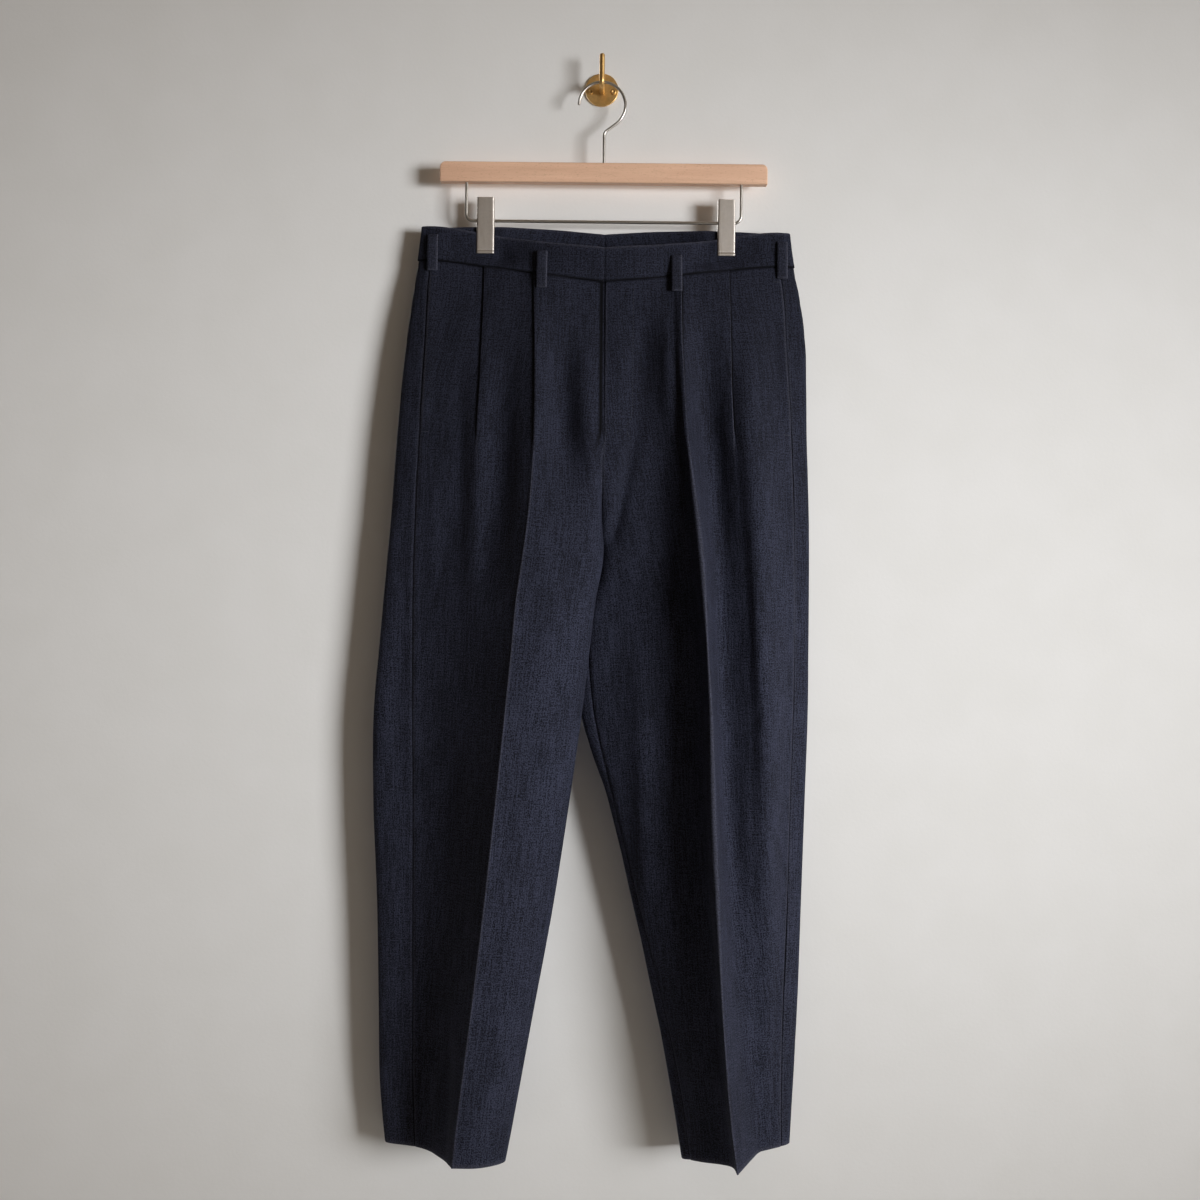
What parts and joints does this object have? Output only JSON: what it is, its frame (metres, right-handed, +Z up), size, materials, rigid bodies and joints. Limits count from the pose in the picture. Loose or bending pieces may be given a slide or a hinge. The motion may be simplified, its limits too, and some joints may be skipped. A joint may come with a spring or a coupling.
{
  "type": "pleated denim trousers on a wooden clip hanger with a wall hook",
  "caption": "Pleated, tapered dark denim trousers with pressed creases, hung by the waist from a wooden bar hanger with metal clips, on a round brass wall hook.",
  "frame": {"origin": "middle of the wall plate's back face, where the wall hook is fixed to the wall", "axes": "+Z up; +Y into the wall, so the trousers face -Y; +X to the right of someone who faces the wall"},
  "size_m": [0.4895, 0.1321, 1.2461],
  "materials": {
    "denim": "woven, matt",
    "wood": "smooth, satin",
    "steel": "brushed",
    "brass": "aged"
  },
  "bodies": {
    "root": {"front_left": "denim", "front_right": "denim", "back_left": "denim", "back_right": "denim", "waistband_left": "denim", "waistband_right": "denim", "fly_shield": "denim", "pocket_facing_left": "denim", "pocket_facing_right": "denim", "belt_loop_front_left": "denim", "belt_loop_front_right": "denim", "belt_loop_side_left": "denim", "belt_loop_side_right": "denim", "belt_loop_back": "denim", "hanger_bar": "wood", "hanger_hook": "steel", "hanger_wire_frame": "steel", "clip_left_front_plate": "steel", "clip_left_back_plate": "steel", "clip_left_tube": "steel", "clip_right_front_plate": "steel", "clip_right_back_plate": "steel", "clip_right_tube": "steel", "wall_plate": "brass", "wall_arm": "brass", "wall_screw_left": "brass", "wall_screw_right": "brass"}
  },
  "joints": []
}
